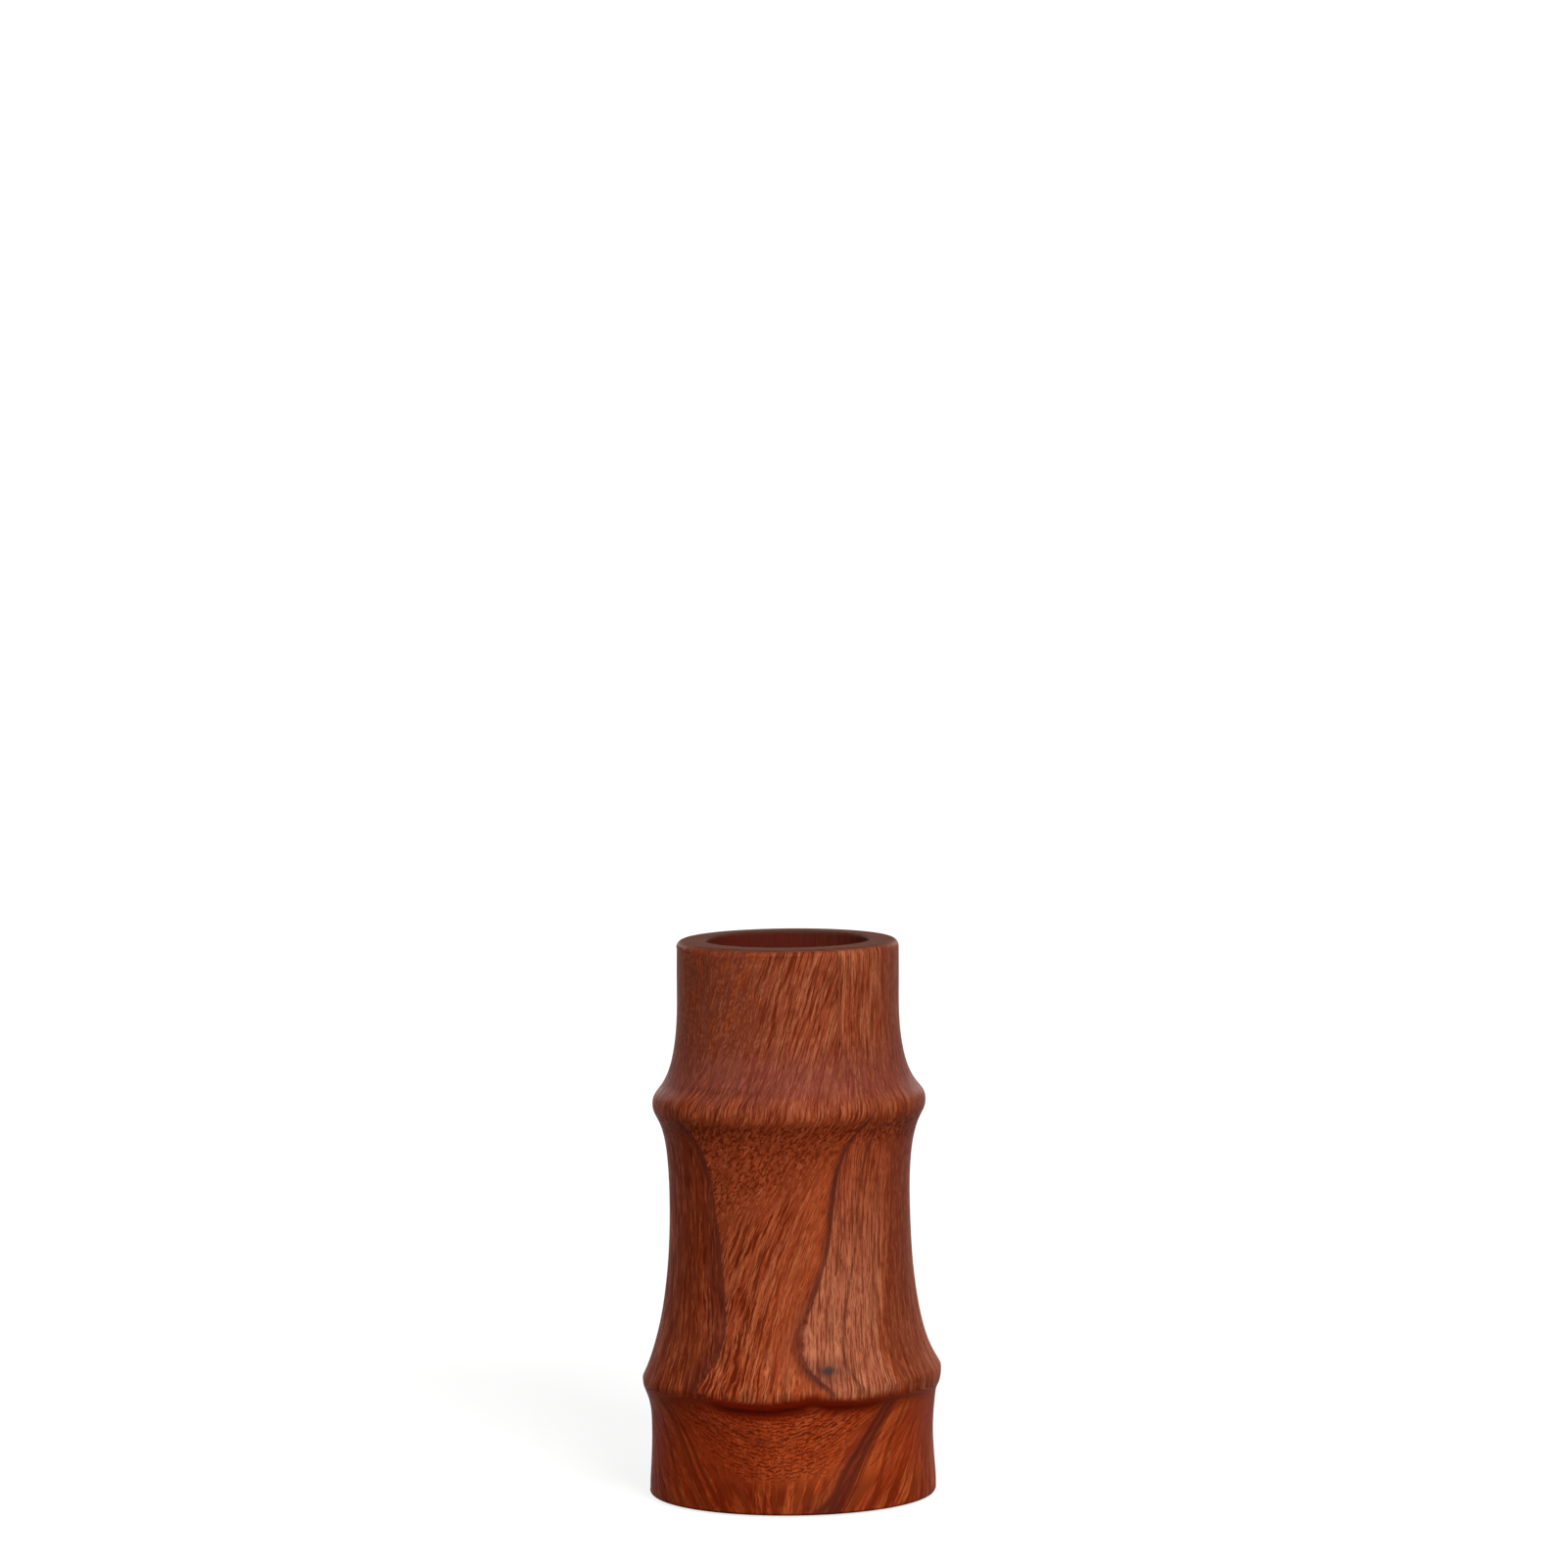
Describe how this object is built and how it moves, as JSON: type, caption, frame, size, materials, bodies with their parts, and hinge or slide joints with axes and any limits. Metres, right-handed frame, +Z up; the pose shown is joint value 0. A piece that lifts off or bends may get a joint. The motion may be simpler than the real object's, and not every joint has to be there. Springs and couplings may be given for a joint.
{
  "type": "vase",
  "caption": "Turned hardwood flower vase shaped like a length of bamboo, with two raised node rings, a plain round mouth and a lift-out glass water liner on a cork cushion.",
  "frame": {"origin": "on the table under the vase, on the vase's axis", "axes": "+Z up along the vase's axis towards the mouth, -Y towards the front that the picture shows, +X to its right"},
  "size_m": [0.1232, 0.1232, 0.23],
  "materials": {
    "red_hardwood": "satin oiled, figured red-brown hardwood",
    "clear_glass": "clear, polished",
    "cork": "pressed cork, matt",
    "brown_felt": "pressed wool felt"
  },
  "bodies": {
    "vase": {"vase_body": "red_hardwood", "base_disc": "red_hardwood", "liner_cushion": "cork", "foot_pad_1": "brown_felt", "foot_pad_2": "brown_felt", "foot_pad_3": "brown_felt", "foot_pad_4": "brown_felt"},
    "liner": {"water_liner": "clear_glass"}
  },
  "joints": [
    {"name": "liner_lift", "type": "slide", "parent": "vase", "child": "liner", "axis": [0, 0, 1], "range_m": [0, 0.22]}
  ]
}
